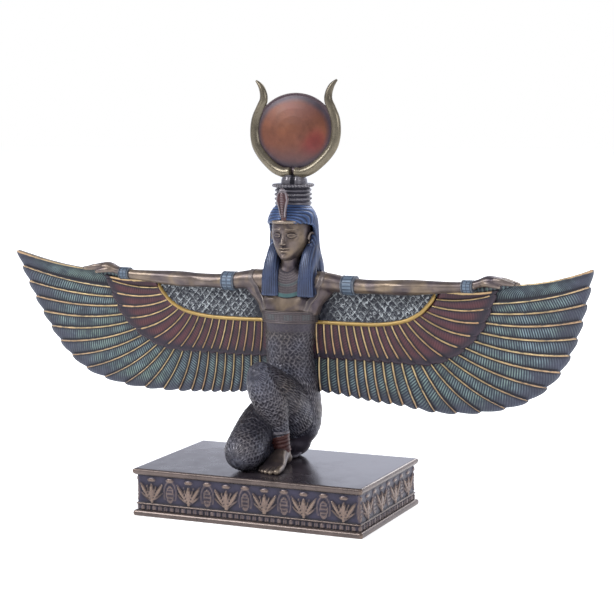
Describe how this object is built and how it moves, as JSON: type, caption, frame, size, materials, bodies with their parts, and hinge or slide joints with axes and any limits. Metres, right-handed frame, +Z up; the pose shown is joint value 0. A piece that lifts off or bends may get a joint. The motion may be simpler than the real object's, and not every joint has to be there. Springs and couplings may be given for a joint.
{
  "type": "figurine",
  "caption": "Kneeling winged goddess with outspread feathered wings, cow horns and a sun disc, on a plinth with a lotus frieze.",
  "frame": {"origin": "middle of the plinth's underside", "axes": "+Z up; +X across the wings, towards her left; the figure faces -Y"},
  "size_m": [0.4026, 0.0952, 0.273],
  "materials": {
    "plinth": "bronze-powder resin with a brown and blue-grey patina, the frieze highlighted in copper",
    "figure": "bronze-powder resin, patinated brown-grey and hand coloured: blue wig, teal and plum feathers, gold ribs, orange disc"
  },
  "bodies": {
    "root": {"plinth": "plinth", "figure": "figure"}
  },
  "joints": []
}
